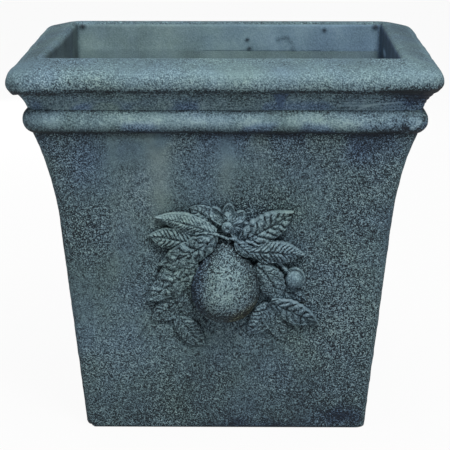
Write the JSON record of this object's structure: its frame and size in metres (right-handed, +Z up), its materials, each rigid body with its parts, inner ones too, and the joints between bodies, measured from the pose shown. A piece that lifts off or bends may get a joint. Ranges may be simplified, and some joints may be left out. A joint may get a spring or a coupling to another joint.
{
  "type": "square garden pot",
  "caption": "Square flared clay garden pot with a rolled rim, a half-round band under it and a moulded fruit and leaf spray on the front.",
  "frame": {"origin": "middle of the foot, on the ground", "axes": "+Z up; the front with the fruit spray faces -Y; +X to the right seen from the front"},
  "size_m": [0.42, 0.42, 0.38],
  "materials": {
    "washed_clay": "matt fired clay stained charcoal blue, with a dry pale grey-green wash rubbed over the high places"
  },
  "bodies": {
    "root": {"blossom_heart": "washed_clay", "blossom_petal_1": "washed_clay", "blossom_petal_2": "washed_clay", "blossom_petal_3": "washed_clay", "blossom_petal_4": "washed_clay", "blossom_petal_5": "washed_clay", "bud": "washed_clay", "bud_cup": "washed_clay", "bud_stem": "washed_clay", "floor_slab": "washed_clay", "fruit": "washed_clay", "leaf_beside_fruit": "washed_clay", "leaf_bottom_left": "washed_clay", "leaf_bottom_right": "washed_clay", "leaf_left": "washed_clay", "leaf_left_foot": "washed_clay", "leaf_left_lobe": "washed_clay", "leaf_left_low": "washed_clay", "leaf_lower_right": "washed_clay", "leaf_lower_right_back": "washed_clay", "leaf_right": "washed_clay", "leaf_shoulder": "washed_clay", "leaf_small": "washed_clay", "leaf_under_left": "washed_clay", "leaf_under_right": "washed_clay", "leaf_upper_left": "washed_clay", "leaf_upper_left_back": "washed_clay", "leaf_upper_right": "washed_clay", "rim_back": "washed_clay", "rim_front": "washed_clay", "rim_left": "washed_clay", "rim_right": "washed_clay", "roll_band_back": "washed_clay", "roll_band_front": "washed_clay", "roll_band_left": "washed_clay", "roll_band_right": "washed_clay", "twig": "washed_clay", "wall_back": "washed_clay", "wall_front": "washed_clay", "wall_left": "washed_clay", "wall_right": "washed_clay"}
  },
  "joints": []
}
